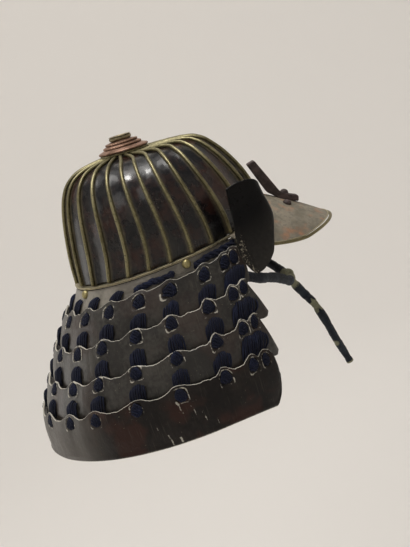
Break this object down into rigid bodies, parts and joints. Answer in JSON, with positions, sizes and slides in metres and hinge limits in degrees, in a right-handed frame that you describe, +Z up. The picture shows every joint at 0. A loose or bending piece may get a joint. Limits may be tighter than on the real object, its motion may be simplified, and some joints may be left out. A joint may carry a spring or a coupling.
{
  "type": "kabuto samurai helmet",
  "caption": "Worn samurai helmet with a ribbed melon-shaped bowl, ringed crown finial, peak with a crest holder, folded ear flaps, a laced neck guard and a padded chin cord.",
  "frame": {"origin": "middle of the bowl's open mouth, where the wearer's head carries it", "axes": "+Z up through the crown, -Y the front with the peak, +X the wearer's left; the mouth of the bowl lies in the plane Z = 0"},
  "size_m": [0.295, 0.4019, 0.349],
  "materials": {
    "bowl_lacquer": "dark red-brown lacquer over iron, semi-gloss, worn",
    "rib_brass": "dull olive-gold, worn gilding",
    "gilt_rim": "soft pale gilt",
    "finial_copper": "brown patinated copper, satin",
    "visor_leather": "faded printed leather, matt",
    "holder_iron": "dark purplish-brown iron, matt",
    "rivet_brass": "worn brass",
    "lame_lacquer": "grey-brown lacquer, satin, worn",
    "ear_lacquer": "black lacquer, semi-gloss",
    "lacing_silk": "dark blue silk braid",
    "cord_cloth": "padded dark blue cloth tube, worn"
  },
  "bodies": {
    "root": {"bowl_shell": "bowl_lacquer", "bowl_ribs": "rib_brass", "bowl_rim_trim": "gilt_rim", "finial_base_ring": "finial_copper", "finial_rope_ring_lower": "finial_copper", "finial_rope_ring_upper": "finial_copper", "finial_tube": "finial_copper", "visor": "visor_leather", "visor_rim": "gilt_rim", "crest_holder": "holder_iron", "crest_holder_rivet_foot": "holder_iron", "crest_holder_rivet_right": "holder_iron", "crest_holder_rivet_left": "holder_iron", "neck_band": "lame_lacquer", "neck_lame_1": "lame_lacquer", "neck_lame_2": "lame_lacquer", "neck_lame_3": "lame_lacquer", "neck_lame_4": "lame_lacquer", "lacing_back": "lacing_silk", "lacing_right_1": "lacing_silk", "lacing_left_1": "lacing_silk", "lacing_right_2": "lacing_silk", "lacing_left_2": "lacing_silk", "lacing_right_3": "lacing_silk", "lacing_left_3": "lacing_silk", "lacing_right_4": "lacing_silk", "lacing_left_4": "lacing_silk", "lacing_right_5": "lacing_silk", "lacing_left_5": "lacing_silk", "lacing_right_6": "lacing_silk", "lacing_left_6": "lacing_silk", "lacing_right_7": "lacing_silk", "lacing_left_7": "lacing_silk", "lacing_right_8": "lacing_silk", "lacing_left_8": "lacing_silk", "neck_band_rivet_right_1": "rivet_brass", "neck_band_rivet_right_2": "rivet_brass", "neck_band_rivet_left_1": "rivet_brass", "neck_band_rivet_left_2": "rivet_brass", "ear_right": "ear_lacquer", "ear_left": "ear_lacquer", "chin_cord_loop": "cord_cloth", "chin_cord_knot": "cord_cloth", "chin_cord_tail": "cord_cloth", "cord_keeper_left": "holder_iron", "cord_keeper_back": "holder_iron", "cord_keeper_right": "holder_iron"}
  },
  "joints": []
}
